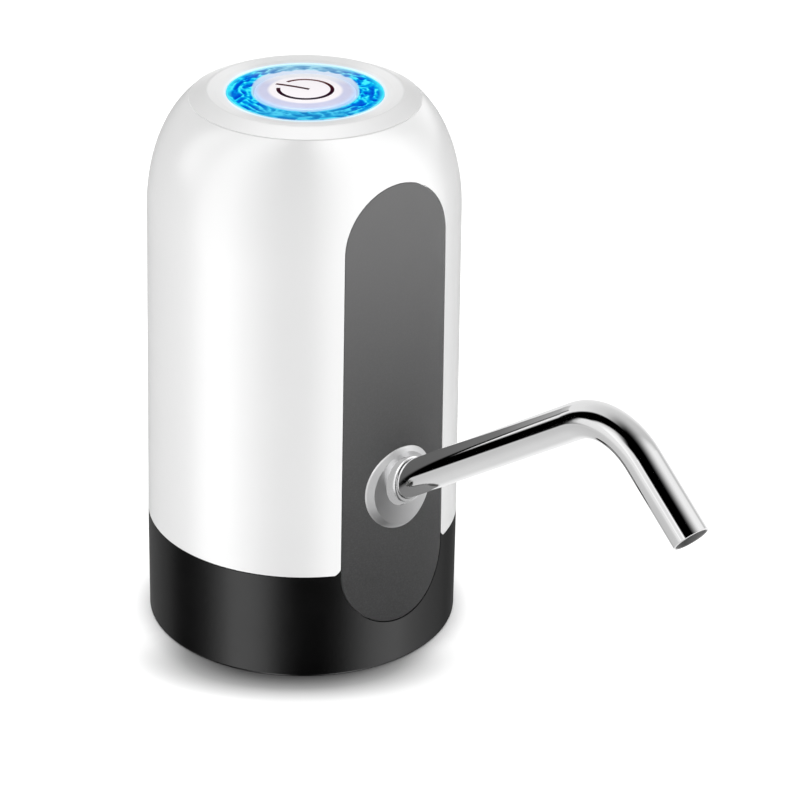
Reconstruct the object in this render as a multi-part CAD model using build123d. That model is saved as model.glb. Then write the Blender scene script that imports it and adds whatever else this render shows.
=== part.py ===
from build123d import *
import math
import os

# Electric water jug pump: a round head that sits on a 55 mm jug neck, with a steel spout.
# Frame: +Z up, origin on the body axis at the foot rim, the spout points along -Y. Millimetres.

# ---------------------------------------------------------------- driving dimensions
R_BASE = 37.5          # outer radius of the base collar
Z_SEAM = 26.8          # joint line between base collar and upper shell
SEAM_GAP = 0.25
R_SHOULDER = 36.66     # shell radius where the shoulder begins
Z_SHOULDER = 105.6
SHOULDER_A = 17.37     # shoulder ellipse, radial semi-axis
SHOULDER_B = 29.6      # shoulder ellipse, vertical semi-axis
Z_RIM = 132.2          # top rim of the shell
WALL = 2.4             # shell wall

R_TRIM_TOP = 22.7      # crest of the top trim ring
Z_TRIM_TOP = 134.1
R_LIGHT = 18.3         # outer radius of the light ring window
Z_LIGHT = 133.6
R_BUTTON = 11.65       # button cap radius
Z_BUTTON_EDGE = 133.75
Z_BUTTON_TOP = 134.35
BUTTON_TRAVEL = 0.8

PANEL_T = 1.2          # front panel thickness
PANEL_HALF_TOP = 14.5
PANEL_HALF_BOTTOM = 15.1
PANEL_Z_TOP = 107.3    # centre of the upper arch
PANEL_Z_BOTTOM = 26.5  # centre of the lower arch
PANEL_GAP = 0.2
PANEL_EDGE = 0.35      # rounding of the panel's outer edge

R_NECK = 27.5          # jug neck bore of the sleeve (55 mm neck)
Z_CEILING = 24.0
SPIGOT_R = 4.0         # intake spigot for the jug hose
SPIGOT_BORE = 2.6

SPOUT_TILT = 34.2      # first leg of the spout, degrees above level
SPOUT_DROP = 38.35     # last leg, degrees below level
SPOUT_Y = -37.0
SPOUT_Z = 47.95        # spout axis height at y = SPOUT_Y
SPOUT_R = 4.2
SPOUT_WALL = 0.5
SPOUT_LEG1 = 70.3
SPOUT_BEND = 18.0
SPOUT_LEG2 = 19.65
SPOUT_INSERT = 12.5
COLLAR_R = 5.0         # plug and collar that carry the spout
PLUG_END = -17.4       # inner end of the plug along the spout axis
COLLAR_PROUD = 3.5     # how far the collar's mouth stands out from the skin
BEZEL_RX = 9.8         # oval bezel that follows the round skin
BEZEL_RZ = 10.4
BEZEL_Z = 46.9
BEZEL_T = 1.15
BEZEL_SLOPE = 1.2      # width of the bevel over its depth

PUMP_R = 13.0
MOTOR_R = 12.2
WOBBLE_TILT = 6.0
WOBBLE_PIVOT_Z = 44.0
CUP_PCR = 7.2
CUP_ANGLES = (270, 30, 150)
PUMP_SCREW_ANGLES = (90, 210, 330)
PUMP_SCREW_R = 11.0

BATTERY_X, BATTERY_Y, BATTERY_R = 23.6, 2.0, 9.2
BOARD_Y = 26.2

os.makedirs("parts", exist_ok=True)
NODES = {}


def save(name, shape):
    solids = shape.solids() if not isinstance(shape, list) else [s for x in shape for s in x.solids()]
    NODES[name] = solids
    export_step(Compound(children=list(solids)) if len(solids) > 1 else solids[0], f"parts/{name}.step")


def cyl(r, z0, z1, x=0.0, y=0.0):
    return Pos(x, y, (z0 + z1) / 2) * Cylinder(r, z1 - z0)


def ring(r0, r1, z0, z1, x=0.0, y=0.0):
    return cyl(r1, z0, z1, x, y) - cyl(r0, z0 - 1, z1 + 1, x, y)


def block(x0, x1, y0, y1, z0, z1):
    return Pos((x0 + x1) / 2, (y0 + y1) / 2, (z0 + z1) / 2) * Box(x1 - x0, y1 - y0, z1 - z0)


def rev(points):
    return revolve(make_face(Polyline(*[(x, 0, z) for x, z in points], close=True)), Axis.Z)


def polar(r, deg):
    return r * math.cos(math.radians(deg)), r * math.sin(math.radians(deg))


def shoulder(d, t):
    return (R_SHOULDER - SHOULDER_A + (SHOULDER_A - d) * math.cos(t), Z_SHOULDER + (SHOULDER_B - d) * math.sin(t))


def outer_r(z):
    if z <= Z_SEAM:
        return R_BASE
    if z <= Z_SHOULDER:
        return R_BASE + (R_SHOULDER - R_BASE) * (z - Z_SEAM) / (Z_SHOULDER - Z_SEAM)
    return R_SHOULDER - SHOULDER_A * (1 - math.sqrt(1 - ((z - Z_SHOULDER) / SHOULDER_B) ** 2))


def envelope(d, z0, t1_deg):
    """Solid inside the outer skin taken in by d, from z0 up to the shoulder angle t1."""
    n = 7
    pts = [shoulder(d, math.radians(t1_deg) * i / n) for i in range(n + 1)]
    r0 = outer_r(z0) - d
    edges = [Line((0, 0, z0), (r0, 0, z0))]
    if z0 < Z_SEAM:
        edges.append(Line((r0, 0, z0), (R_BASE - d, 0, Z_SEAM)))
        edges.append(Line((R_BASE - d, 0, Z_SEAM), (R_SHOULDER - d, 0, Z_SHOULDER)))
    else:
        edges.append(Line((r0, 0, z0), (R_SHOULDER - d, 0, Z_SHOULDER)))
    t1 = math.radians(t1_deg)
    end_tan = (-(SHOULDER_A - d) * math.sin(t1), 0, (SHOULDER_B - d) * math.cos(t1))
    edges.append(Spline(*[(x, 0, z) for x, z in pts], tangents=[(0, 0, 1), end_tan]))
    edges.append(Line((pts[-1][0], 0, pts[-1][1]), (0, 0, pts[-1][1])))
    edges.append(Line((0, 0, pts[-1][1]), (0, 0, z0)))
    return revolve(make_face(edges), Axis.Z)


def screw(x, y, z_head, length, r=1.0, head_r=1.9, head_h=1.4, up=True):
    """Pan head screw on Z: the head's bearing face is at z_head, the shank goes up or down from it."""
    s = 1 if up else -1
    shank = cyl(r, min(z_head, z_head + s * length), max(z_head, z_head + s * length), x, y)
    z0, z1 = sorted((z_head, z_head - s * head_h))
    head = cyl(head_r, z0, z1, x, y)
    zc = z_head - s * head_h
    cut = block(x - head_r * 0.62, x + head_r * 0.62, y - 0.22, y + 0.22, zc - 0.5, zc + 0.5)
    cut2 = block(x - 0.22, x + 0.22, y - head_r * 0.62, y + head_r * 0.62, zc - 0.5, zc + 0.5)
    return shank + head - cut - cut2


def wire(points, r):
    """Round lead along straight runs joined by tangent arcs."""
    radii = []
    for a, b, c in zip(points, points[1:], points[2:]):
        u = Vector(*b) - Vector(*a)
        v = Vector(*c) - Vector(*b)
        turn = math.radians(u.get_angle(v))
        radii.append(0.45 * min(u.length, v.length) / math.tan(turn / 2))
    path = FilletPolyline(*points, radius=radii)
    print("lead radii", [round(q, 1) for q in radii], "length", round(path.length, 1))
    return sweep(Plane(origin=path @ 0, z_dir=path % 0) * Circle(r), path=path)


# spout axis frame: local z runs outwards along the spout's first leg
T1, T2 = math.radians(SPOUT_TILT), math.radians(SPOUT_DROP)
D1 = (0, -math.cos(T1), math.sin(T1))
D2 = (0, -math.cos(T2), -math.sin(T2))
SPOUT_LOC = Plane(origin=(0, SPOUT_Y, SPOUT_Z), x_dir=(1, 0, 0), z_dir=D1).location


def tcyl(r, s0, s1):
    return SPOUT_LOC * Pos(0, 0, (s0 + s1) / 2) * Cylinder(r, s1 - s0)


def rod(r, a, b):
    """Round bar of radius r between two points."""
    va, vb = Vector(*a), Vector(*b)
    loc = Plane(origin=(va + vb) * 0.5, z_dir=vb - va).location
    return loc * Cylinder(r, (vb - va).length)


def ycyl(r, y0, y1, x, z):
    return Pos(x, (y0 + y1) / 2, z) * Rot(90, 0, 0) * Cylinder(r, abs(y1 - y0))


def stadium(gap, y0=-60.0, y1=-10.0):
    """Front panel outline grown by gap, as a prism along Y."""
    ra, rb = PANEL_HALF_TOP + gap, PANEL_HALF_BOTTOM + gap
    phi = math.asin((rb - ra) / (PANEL_Z_TOP - PANEL_Z_BOTTOM))
    c, s = math.cos(phi), math.sin(phi)
    tr, tl = (ra * c, PANEL_Z_TOP + ra * s), (-ra * c, PANEL_Z_TOP + ra * s)
    br, bl = (rb * c, PANEL_Z_BOTTOM + rb * s), (-rb * c, PANEL_Z_BOTTOM + rb * s)
    p = lambda q: (q[0], y0, q[1])
    edges = [
        Line(p(br), p(tr)),
        ThreePointArc(p(tr), (0, y0, PANEL_Z_TOP + ra), p(tl)),
        Line(p(tl), p(bl)),
        ThreePointArc(p(bl), (0, y0, PANEL_Z_BOTTOM - rb), p(br)),
    ]
    return extrude(make_face(edges), amount=y1 - y0, dir=(0, 1, 0))


def corner(side, r, grow=0.0):
    """Fillet-shaped ear beside the panel at the seam, as a prism along Y."""
    x0 = PANEL_HALF_BOTTOM + PANEL_GAP - 0.35
    zs = Z_SEAM - 0.4
    y0 = -60.0
    rr = r + 0.35 + 0.4
    q = rr * (1 - math.sqrt(0.5))
    g = grow
    pts = [(x0, zs), (x0 + rr + g, zs), (x0 + q + g * 0.7, zs + q + g * 0.7), (x0, zs + rr + g)]
    p = lambda a: (side * a[0], y0, a[1])
    edges = [Line(p(pts[0]), p(pts[1])), ThreePointArc(p(pts[1]), p(pts[2]), p(pts[3])), Line(p(pts[3]), p(pts[0]))]
    return extrude(make_face(edges), amount=50, dir=(0, 1, 0))


outer = envelope(0.0, 0.0, math.degrees(math.asin((Z_RIM - Z_SHOULDER) / SHOULDER_B)))
skin_band = outer - envelope(PANEL_T, -1.0, 60.0)
recess_band = outer - envelope(PANEL_T + 0.08, -1.0, 60.0)

# ---------------------------------------------------------------- housing
inner = envelope(WALL, Z_SEAM + 0.01, 70.85)
shell = (outer - cyl(60, -5, Z_SEAM + SEAM_GAP)) - inner - cyl(24.2, 120, 140)
shell = shell - (stadium(PANEL_GAP) & recess_band)
for side in (1, -1):
    shell = shell - (corner(side, 2.4, 0.18) & recess_band)
BOSS_ANGLES = (40, 140, 220, 320)
for a in BOSS_ANGLES:
    x, y = polar(27.0, a)
    rib = Pos(*polar(31.6, a), 38.1) * Rot(0, 0, a) * Box(7.4, 1.6, 15.8)
    shell = shell + ((cyl(3.0, 26.65, 46.0, x, y) + rib) & envelope(WALL - 0.6, 26.65, 60.0))
for a in BOSS_ANGLES:
    shell = shell - cyl(1.15, 20.0, 40.0, *polar(27.0, a))
# spout socket bosses on the inner wall, and the slanted spout passage
for sx in (11.5, -11.5):
    shell = shell + ((ycyl(2.6, -36.0, -29.6, sx, 41.0)) & envelope(WALL - 0.6, 27.2, 60.0))
    shell = shell - ycyl(0.85, -33.6, -28.0, sx, 41.0)
shell = shell - tcyl(5.35, -12.0, 12.0)
# charging port window and the shallow pocket round it
USB_Z = 38.5
usb_cut = Pos(0, 36, USB_Z) * Rot(90, 0, 0) * extrude(RectangleRounded(8.2, 3.3, 0.8), amount=6, both=True)
usb_pocket = Pos(0, 42.1, USB_Z) * Rot(90, 0, 0) * extrude(RectangleRounded(12.4, 7.4, 2.2), amount=6.2, both=True)
shell = shell - usb_cut - (usb_pocket & (cyl(60, 20, 60) - cyl(outer_r(USB_Z) - 1.0, 19, 61)))
save("upper_shell", shell)

panel = (stadium(0.0) & skin_band).solids().sort_by(SortBy.VOLUME)[-1]
rim_edges = [e for e in panel.edges() if math.hypot((e @ 0.5).X, (e @ 0.5).Y) > outer_r(min(131.0, max(0.1, (e @ 0.5).Z))) - 0.02]
panel = fillet(rim_edges, PANEL_EDGE) - tcyl(5.35, -12.0, 12.0)
save("front_panel", panel)

# base collar: outer skirt with a foot ledge and a snap bead near its top edge
base = rev([
    (30.3, 0.0), (R_BASE - 0.5, 0.0), (R_BASE - 0.15, 0.15), (R_BASE, 0.5), (R_BASE, Z_SEAM), (34.9, Z_SEAM),
    (34.4, 26.4), (34.4, 26.0), (35.1, 25.7), (35.1, 2.4), (31.15, 2.4), (31.15, 1.2), (30.3, 1.2),
])
base = base - (stadium(PANEL_GAP) & recess_band)
for side in (1, -1):
    base = base + (corner(side, 2.4) & skin_band & cyl(60, Z_SEAM - 0.3, 40) - stadium(PANEL_GAP))
save("base_collar", base)

# bulkhead: floor of the dry compartment, with a skirt down behind the neck sleeve
bulk = rev([
    (31.3, 2.55), (33.2, 2.55), (33.2, Z_CEILING), (34.95, Z_CEILING), (34.95, 25.6), (34.2, 25.7), (34.2, 29.6), (33.0, 29.6),
    (33.0, 26.6), (5.15, 26.6), (5.15, Z_CEILING), (31.3, Z_CEILING),
])
for a in BOSS_ANGLES:
    x, y = polar(27.0, a)
    bulk = bulk - cyl(1.3, 20, 30, x, y) - cyl(2.3, Z_CEILING - 1, Z_CEILING + 1.6, x, y)
POST_ANGLES = (45, 135, 225, 315)
for a in POST_ANGLES:
    x, y = polar(20.0, a)
    bulk = bulk + (cyl(2.5, 26.6, 43.4, x, y) - cyl(0.95, 34.0, 44.0, x, y))
# board rails
for sx in (1, -1):
    bulk = bulk + (block(sx * 13.6 - 1.2, sx * 13.6 + 1.2, BOARD_Y - 1.2, BOARD_Y + 2.8, 26.6, 48.0)
                   - block(sx * 13.1 - 0.9, sx * 13.1 + 0.9, BOARD_Y - 0.1, BOARD_Y + 1.7, 27.4, 50.0))
# notch so the spout socket's tail clears the upstand
bulk = bulk - block(-8.5, 8.5, -36, -31, 26.61, 31)
save("bulkhead", bulk)

save("chassis_screws", [screw(*polar(27.0, a), Z_CEILING + 1.55, 9.0, r=1.05, head_r=2.1, head_h=1.5) for a in BOSS_ANGLES])

# soft neck sleeve: three sealing lands with grooves between them, and a top flange
sleeve = rev([
    (R_NECK, 0.0), (30.2, 0.0), (30.2, 1.3), (31.05, 1.3), (31.15, 2.6), (31.15, 23.8), (25.2, 23.8), (25.2, 22.2), (R_NECK, 20.4),
    (R_NECK, 16.0), (28.2, 15.4), (28.2, 14.4), (R_NECK, 13.8), (R_NECK, 9.6), (28.2, 9.0), (28.2, 8.0), (R_NECK, 7.4),
])
save("neck_sleeve", sleeve)

# intake spigot, held between pump head and bulkhead
barb = rev([
    (SPIGOT_BORE, 9.0), (SPIGOT_R - 0.6, 9.0), (SPIGOT_R, 9.8), (SPIGOT_R, 22.4), (5.0, 23.0), (5.0, 27.2), (8.0, 27.2),
    (8.0, 28.4), (4.35, 28.4), (4.35, 24.2), (SPIGOT_BORE, 24.2),
])
save("intake_spigot", barb)
save("intake_gasket", ring(5.1, 8.0, 26.62, 27.18))

# ---------------------------------------------------------------- top: trim ring, light ring, button
trim = rev([
    (18.3, Z_LIGHT - 0.05), (20.4, Z_LIGHT + 0.05), (R_TRIM_TOP - 0.5, Z_TRIM_TOP - 0.1), (R_TRIM_TOP, Z_TRIM_TOP), (R_TRIM_TOP + 0.5, Z_TRIM_TOP - 0.12),
    (26.75, Z_RIM + 0.25), (26.8, Z_RIM + 0.03), (24.1, Z_RIM + 0.03), (24.1, 129.6), (22.9, 129.6), (22.9, 131.0), (20.2, 131.0), (20.2, 130.5), (18.3, 130.5),
])
for a in (90, 210, 330):
    x, y = polar(21.5, a)
    trim = trim + (cyl(1.9, 126.3, 131.5, x, y) - cyl(0.8, 125, 130.5, x, y))
save("top_trim_ring", trim)

light = rev([
    (11.85, 132.1), (11.85, Z_LIGHT - 0.35), (12.2, Z_LIGHT), (17.85, Z_LIGHT), (18.2, Z_LIGHT - 0.35), (18.2, 130.4), (19.3, 130.4), (19.3, 129.2),
    (12.85, 129.2), (12.85, 132.1),
])
save("light_ring", light)

cap_edge = Z_BUTTON_EDGE
rs = ((R_BUTTON - 0.4) ** 2 + (Z_BUTTON_TOP - cap_edge) ** 2) / (2 * (Z_BUTTON_TOP - cap_edge))
dome_mid_r = (R_BUTTON - 0.4) / 2
dome_mid_z = Z_BUTTON_TOP - (rs - math.sqrt(rs * rs - dome_mid_r ** 2))
cap_face = make_face([
    Line((0, 0, 131.06), (2.4, 0, 131.06)), Line((2.4, 0, 131.06), (2.4, 0, 132.4)), Line((2.4, 0, 132.4), (10.6, 0, 132.4)),
    Line((10.6, 0, 132.4), (10.6, 0, 131.2)), Line((10.6, 0, 131.2), (12.6, 0, 131.2)), Line((12.6, 0, 131.2), (12.6, 0, 131.95)),
    Line((12.6, 0, 131.95), (R_BUTTON, 0, 131.95)), Line((R_BUTTON, 0, 131.95), (R_BUTTON, 0, cap_edge - 0.35)),
    ThreePointArc((R_BUTTON, 0, cap_edge - 0.35), (R_BUTTON - 0.12, 0, cap_edge - 0.11), (R_BUTTON - 0.4, 0, cap_edge)),
    ThreePointArc((R_BUTTON - 0.4, 0, cap_edge), (dome_mid_r, 0, dome_mid_z), (0, 0, Z_BUTTON_TOP)),
    Line((0, 0, Z_BUTTON_TOP), (0, 0, 131.06)),
])
cap = revolve(cap_face, Axis.Z)

# power mark: an open ring with a bar, inlaid 0.25 mm deep
MARK_R, MARK_W, MARK_DIR = 6.2, 0.92, 115.0
gap_half = 20.5
mark_ring = ring(MARK_R - MARK_W / 2, MARK_R + MARK_W / 2, 130, 136)
wedge = extrude(make_face(Polyline((0, 0, 130), (*polar(20, MARK_DIR - gap_half), 130), (*polar(20, MARK_DIR + gap_half), 130), close=True)), amount=8, dir=(0, 0, 1))
bar_mid = polar(3.3, MARK_DIR)
bar = Pos(*bar_mid, 133) * Rot(0, 0, MARK_DIR) * Box(8.6, MARK_W, 6)
mark_prism = (mark_ring - wedge) + bar
shrunk = Pos(0, 0, -0.25) * cap
mark = (mark_prism & cap) - (shrunk & cyl(9.5, 131, 136))
save("power_mark", mark)
save("button_cap", cap - mark)

save("light_board", cyl(23.2, 124.6, 126.2) - [cyl(1.0, 120, 130, *polar(21.5, a)) for a in (90, 210, 330)] - cyl(1.5, 120, 130, -19.0, -6.0))
save("light_board_screws", [screw(*polar(21.5, a), 124.55, 4.6, r=0.75, head_r=1.6, head_h=1.2) for a in (90, 210, 330)])
led = []
for i in range(8):
    x, y = polar(15.2, 22.5 + 45 * i)
    led.append(Pos(x, y, 126.75) * Rot(0, 0, 22.5 + 45 * i) * Box(2.8, 2.8, 1.06))
save("light_diodes", led)
sw = block(-3, 3, -3, 3, 126.22, 129.7) - cyl(1.85, 128.0, 130)
save("switch_body", sw)
save("switch_plunger", cyl(1.75, 129.0, 131.0))

# ---------------------------------------------------------------- pump
# head: a centre delivery chamber, a ring-shaped suction chamber, and the drilled ways to each
head = cyl(PUMP_R, 28.6, 39.2) + (cyl(4.1, 24.4, 29.0) - rev([(3.35, 26.3), (4.4, 26.3), (4.4, 27.5), (3.35, 27.5)]))
head = head + (tcyl(3.0, -30.0, -24.0) + tcyl(3.3, -25.2, -24.4))
head = head - ring(5.0, 9.9, 36.4, 40.0) - cyl(3.9, 33.6, 40.0)
head = head - cyl(2.4, 20.0, 31.6) - rod(1.4, (0, 0.5, 31.0), (0, 8.0, 31.0)) - cyl(1.4, 29.9, 37.0, 0, 8.0)
head = head - tcyl(1.9, -29.4, -20.0) - rod(1.5, (0, -12.4, 31.4), (0, -3.0, 34.7))
for a in PUMP_SCREW_ANGLES:
    head = head - cyl(0.95, 20, 50, *polar(PUMP_SCREW_R, a)) - cyl(1.9, 20, 30.2, *polar(PUMP_SCREW_R, a))
save("pump_head", head.solids().sort_by(SortBy.VOLUME)[-1])
save("pump_inlet_seal", Pos(0, 0, 26.9) * Torus(3.85, 0.46))

valve = cyl(PUMP_R, 39.25, 41.8)
for a in CUP_ANGLES:
    x, y = polar(CUP_PCR, a)
    valve = valve - cyl(0.75, 38, 43, x, y) - cyl(2.6, 40.9, 43, x, y)
    valve = valve - [cyl(0.5, 38, 43, x + 1.5 * math.cos(t), y + 1.5 * math.sin(t)) for t in (0, math.pi / 2, math.pi, 3 * math.pi / 2)]
    valve = valve - cyl(0.5, 38, 43, *polar(2.6, a))
valve = valve - cyl(0.75, 38, 43) - [cyl(0.95, 38, 43, *polar(PUMP_SCREW_R, a)) for a in PUMP_SCREW_ANGLES]
save("valve_plate", valve)
save("inlet_valves", [cyl(0.7, 39.3, 41.2, *polar(CUP_PCR, a)) + cyl(2.3, 41.0, 41.5, *polar(CUP_PCR, a)) for a in CUP_ANGLES])
save("outlet_valve", cyl(0.7, 38.4, 41.6) + cyl(3.4, 38.7, 39.2))

# three-chamber diaphragm and the plate that nutates it
TILT = Pos(0, 0, WOBBLE_PIVOT_Z) * Rot(0, WOBBLE_TILT, 0) * Pos(0, 0, -WOBBLE_PIVOT_Z)
dia = cyl(PUMP_R - 0.1, 41.85, 43.0)
for a in CUP_ANGLES:
    x, y = polar(CUP_PCR, a)
    dia = dia + cyl(2.9, 42.8, 43.9, x, y)
    dia = dia + TILT * (cyl(1.8, 43.4, 45.4, x, y) + cyl(0.9, 45.0, 47.5, x, y) + cyl(1.35, 47.45, 48.3, x, y))
for a in CUP_ANGLES:
    x, y = polar(CUP_PCR, a)
    dia = dia - cyl(2.3, 41.0, 43.2, x, y) - Pos(*polar(4.7, a), 41.9) * Rot(0, 0, a) * Box(5.0, 1.3, 1.2)
dia = dia - [cyl(0.95, 38, 45, *polar(PUMP_SCREW_R, a)) for a in PUMP_SCREW_ANGLES]
save("diaphragm", dia)

wob = cyl(3.0, 45.6, 49.2)
for a in CUP_ANGLES:
    arm = Pos(*polar(CUP_PCR / 2, a), 46.4) * Rot(0, 0, a) * Box(CUP_PCR, 3.0, 1.6)
    wob = wob + cyl(2.3, 45.6, 47.2, *polar(CUP_PCR, a)) + arm
for a in CUP_ANGLES:
    wob = wob - cyl(1.15, 44, 49, *polar(CUP_PCR, a))
wob = wob - cyl(0.92, 45.0, 50)
save("wobble_plate", TILT * wob)
save("drive_pin", TILT * cyl(0.9, 45.65, 53.2))
hub = cyl(4.4, 50.0, 56.0) - TILT * cyl(0.96, 49.0, 53.6) - cyl(1.02, 54.1, 57.0)
hub = hub - Pos(-3.6, 0, 53.0) * Box(3.0, 4.0, 4.0)
save("eccentric_hub", hub)

ph = cyl(PUMP_R, 43.05, 58.4) - cyl(11.0, 42, 56.6) - cyl(3.4, 55, 60)
ph = ph + ring(PUMP_R - 0.2, 15.6, 44.8, 46.4)
ph = ph + [cyl(1.9, 43.05, 56.8, *polar(PUMP_SCREW_R, a)) for a in PUMP_SCREW_ANGLES]
ph = ph - [cyl(0.95, 42, 50.0, *polar(PUMP_SCREW_R, a)) for a in PUMP_SCREW_ANGLES]
ph = ph - [cyl(1.35, 55, 60, sx * 6.5, 0) for sx in (1, -1)]
# side window that shows the wobble plate, and room for the battery cradle beside the flange
ph = ph - Pos(-12, 0, 50.6) * Box(6.0, 9.0, 7.6) - cyl(10.6, 40, 60, BATTERY_X, BATTERY_Y)
save("pump_housing", ph)
save("pump_screws", [screw(*polar(PUMP_SCREW_R, a), 30.2, 16.8, r=0.85, head_r=1.7, head_h=1.3) for a in PUMP_SCREW_ANGLES])

clamp = ring(13.4, 24.0, 46.45, 48.6) - cyl(10.6, 40, 60, BATTERY_X, BATTERY_Y)
clamp = clamp - block(-8.6, 8.6, -30, -16.5, 40, 60) - block(-30, 30, 19.0, 30, 40, 60)
clamp = clamp + [ring(1.2, 2.9, 43.5, 46.6, *polar(20.0, a)) for a in POST_ANGLES]
clamp = clamp - [cyl(1.15, 40, 50, *polar(20.0, a)) for a in POST_ANGLES]
save("pump_clamp", clamp)
save("clamp_screws", [screw(*polar(20.0, a), 48.65, 11.5, r=0.85, head_r=1.9, head_h=1.4, up=False) for a in POST_ANGLES])

# ---------------------------------------------------------------- motor
Z_M0, Z_M1 = 58.45, 88.0
can = cyl(MOTOR_R, Z_M0, Z_M1) - cyl(MOTOR_R - 1.0, Z_M0 + 1.2, Z_M1 + 1) - cyl(3.05, 50, 70)
can = can - [cyl(1.15, 50, 62, sx * 6.5, 0) for sx in (1, -1)] - [block(-3, 3, sy * 12.2 - 1.5, sy * 12.2 + 1.5, 66, 69) for sy in (1, -1)]
save("motor_can", can)
save("motor_screws", [screw(sx * 6.5, 0, 56.55, 3.6, r=1.05, head_r=1.7, head_h=0.9) for sx in (1, -1)])
endcap = (cyl(MOTOR_R - 0.15, Z_M1 + 0.05, Z_M1 + 2.4) - cyl(3.05, 80, 92)) + (ring(8.8, 11.05, Z_M1 - 1.6, Z_M1 + 0.2))
endcap = endcap + ring(3.1, 5.0, Z_M1 + 2.3, Z_M1 + 3.4)
endcap = endcap - [block(sx * 7.0 - 0.45, sx * 7.0 + 0.45, -1.7, 1.7, 80, 95) for sx in (1, -1)]
save("motor_end_cap", endcap)
save("motor_terminals", [block(sx * 7.0 - 0.3, sx * 7.0 + 0.3, -1.5, 1.5, Z_M1 - 0.9, Z_M1 + 6.4) - Pos(sx * 7.0, 0, Z_M1 + 5.2) * Rot(0, 90, 0) * Cylinder(0.6, 3) for sx in (1, -1)])
save("motor_bushings", [ring(1.03, 3.0, Z_M0 + 0.05, Z_M0 + 2.6), ring(1.03, 3.0, Z_M1 + 0.1, Z_M1 + 2.4)])
magnet = ring(9.75, 11.15, 63.0, 84.0)
save("motor_magnets", [magnet & (Rot(0, 0, a) * block(0, 14, -9.0, 9.0, 60, 90)) for a in (0, 180)])
save("motor_shaft", cyl(1.0, 54.3, Z_M1 + 3.0))
core = cyl(9.3, 65.5, 79.5)
for k in range(3):
    a = 30 + 120 * k
    core = core - Pos(*polar(8.6, a), 72.5) * Rot(0, 0, a) * Box(3.0, 1.5, 20) - Pos(*polar(6.2, a), 72.5) * Rot(0, 0, a) * Box(3.6, 5.4, 20)
core = core - cyl(1.02, 60, 90)
save("rotor_core", core)
wind = []
for k in range(3):
    a = 90 + 120 * k
    for z0, z1 in ((62.2, 65.4), (79.6, 81.8)):
        wind.append(Pos(*polar(5.2, a), (z0 + z1) / 2) * Rot(0, 0, a) * Box(5.2, 6.2, z1 - z0))
save("rotor_windings", wind)
comm = ring(1.02, 2.55, 82.0, 87.2)
comm = comm - [Pos(*polar(2.4, 30 + 120 * k), 85) * Rot(0, 0, 30 + 120 * k) * Box(1.2, 0.3, 8) for k in range(3)]
save("commutator", comm)
save("motor_brushes", [block(sx * 2.64 if sx > 0 else -6.9, sx * 6.9 if sx > 0 else -2.64, -0.9, 0.9, 84.0, 85.8) for sx in (1, -1)])

# ---------------------------------------------------------------- battery
bx, by = BATTERY_X, BATTERY_Y
cell = cyl(BATTERY_R, 30.6, 94.9, bx, by) + cyl(3.0, 94.8, 95.6, bx, by)
save("battery_cell", cell)
# cradle: a channel with end walls, open towards the shell
cradle = cyl(10.2, 26.65, 97.6, bx, by) - cyl(9.35, 30.2, 96.1, bx, by) - block(bx + 3.5, bx + 14, by - 14, by + 14, 37.0, 89.0)
cradle = cradle & (cyl(32.7, 26.65, 29.65) + cyl(34.1, 29.65, 97.6))
cradle = cradle - block(bx - 2.3, bx + 2.3, by + 5, by + 14, 30.1, 31.2) - block(bx - 2.3, bx + 2.3, by + 5, by + 14, 95.5, 96.1)
save("battery_cradle", cradle)
tabs = [
    block(bx - 2.0, bx + 2.0, by - 3.0, by + 12.2, 95.65, 95.9),
    block(bx - 2.0, bx + 2.0, by - 4.0, by + 11.9, 30.25, 30.55),
]
save("battery_tabs", tabs)

# ---------------------------------------------------------------- control board and charging port
board = block(-13.0, 13.0, BOARD_Y, BOARD_Y + 1.6, 27.5, 70.0)
save("control_board", board)
Yb = BOARD_Y + 1.65
parts_ = [
    block(-6.0, 0.0, Yb, Yb + 1.6, 52.0, 58.0), block(4.0, 9.0, Yb, Yb + 1.6, 50.0, 54.0), block(-11.5, -8.5, Yb, Yb + 1.1, 44.0, 46.0),
    block(-11.5, -8.5, Yb, Yb + 1.1, 48.0, 50.0), block(6.5, 9.5, Yb, Yb + 1.1, 44.0, 46.0), Pos(7.5, Yb + 1.9, 62.0) * Rot(90, 0, 0) * Cylinder(2.6, 3.7),
    block(-6.5, 6.5, BOARD_Y - 6.6, BOARD_Y - 0.05, 63.0, 69.85), block(5.5, 12.0, BOARD_Y - 5.0, BOARD_Y - 0.05, 52.0, 57.0),
]
save("board_components", parts_)
ush = Pos(0, Yb + 4.0, USB_Z) * Rot(90, 0, 0) * extrude(RectangleRounded(7.5, 2.7, 0.6), amount=4.0, both=True)
ush_in = Pos(0, Yb + 4.9, USB_Z) * Rot(90, 0, 0) * extrude(RectangleRounded(6.9, 2.1, 0.4), amount=4.4, both=True)
save("usb_shell", ush - ush_in)
save("usb_tongue", block(-2.0, 2.0, Yb + 0.6, Yb + 6.6, USB_Z - 0.1, USB_Z + 0.6) + block(-3.3, 3.3, Yb + 0.55, Yb + 2.0, USB_Z - 0.95, USB_Z + 0.95))

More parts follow.
